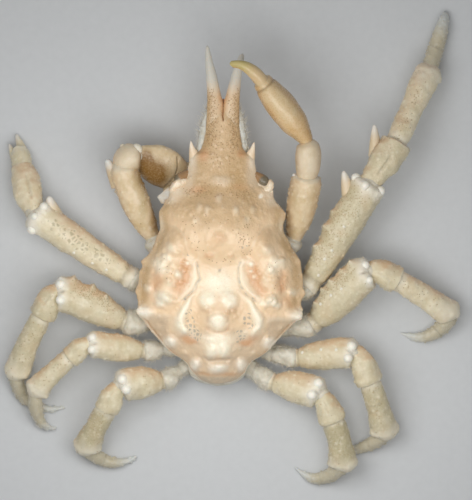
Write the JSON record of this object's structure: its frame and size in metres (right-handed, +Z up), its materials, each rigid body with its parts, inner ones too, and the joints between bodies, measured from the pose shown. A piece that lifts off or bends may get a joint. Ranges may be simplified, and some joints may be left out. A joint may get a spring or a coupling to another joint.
{
  "type": "tylocarcinus spider crab",
  "caption": "Life-size still figure of a small horned spider crab lying on its belly with its legs spread, a natural history display piece.",
  "frame": {"origin": "on the floor, under the middle of the breastplate, which is the face that the crab lies on", "axes": "+Z up, +Y along the body to the two horns, +X to the crab's right"},
  "size_m": [0.0456, 0.0476, 0.0097],
  "materials": {
    "shell": "matte limy shell, peach-tan with cream bosses",
    "pale_shell": "matte limy shell, cream",
    "horny_finger": "satin horny shell, ochre",
    "eye": "glossy dark cornea on a brown stalk"
  },
  "bodies": {
    "root": {"carapace": "shell", "breastplate": "pale_shell", "tail_flap": "pale_shell", "mouth_plate_left": "pale_shell", "mouth_plate_right": "pale_shell", "eye_left": "eye", "eye_right": "eye", "feeler_left": "pale_shell", "feeler_right": "pale_shell", "claw_left_hip": "pale_shell", "claw_left_thigh": "shell", "claw_left_knee": "shell", "claw_left_palm": "shell", "claw_left_finger": "horny_finger", "claw_right_hip": "pale_shell", "claw_right_thigh": "shell", "claw_right_knee": "shell", "claw_right_palm": "shell", "claw_right_finger": "horny_finger", "leg_1_left_hip": "pale_shell", "leg_1_left_thigh": "pale_shell", "leg_1_left_knee": "pale_shell", "leg_1_left_shin": "pale_shell", "leg_1_right_hip": "pale_shell", "leg_1_right_thigh": "pale_shell", "leg_1_right_knee": "pale_shell", "leg_1_right_shin": "pale_shell", "leg_1_right_blade": "pale_shell", "leg_2_left_hip": "pale_shell", "leg_2_left_thigh": "pale_shell", "leg_2_left_knee": "pale_shell", "leg_2_left_shin": "pale_shell", "leg_2_left_blade": "pale_shell", "leg_2_right_hip": "pale_shell", "leg_2_right_thigh": "pale_shell", "leg_2_right_knee": "pale_shell", "leg_2_right_shin": "pale_shell", "leg_2_right_blade": "pale_shell", "leg_3_left_hip": "pale_shell", "leg_3_left_thigh": "pale_shell", "leg_3_left_knee": "pale_shell", "leg_3_left_shin": "pale_shell", "leg_3_left_blade": "pale_shell", "leg_3_right_hip": "pale_shell", "leg_3_right_thigh": "pale_shell", "leg_3_right_knee": "pale_shell", "leg_3_right_shin": "pale_shell", "leg_3_right_blade": "pale_shell", "leg_4_left_hip": "pale_shell", "leg_4_left_thigh": "pale_shell", "leg_4_left_knee": "pale_shell", "leg_4_left_shin": "pale_shell", "leg_4_left_blade": "pale_shell", "leg_4_right_hip": "pale_shell", "leg_4_right_thigh": "pale_shell", "leg_4_right_knee": "pale_shell", "leg_4_right_shin": "pale_shell", "leg_4_right_blade": "pale_shell"}
  },
  "joints": []
}
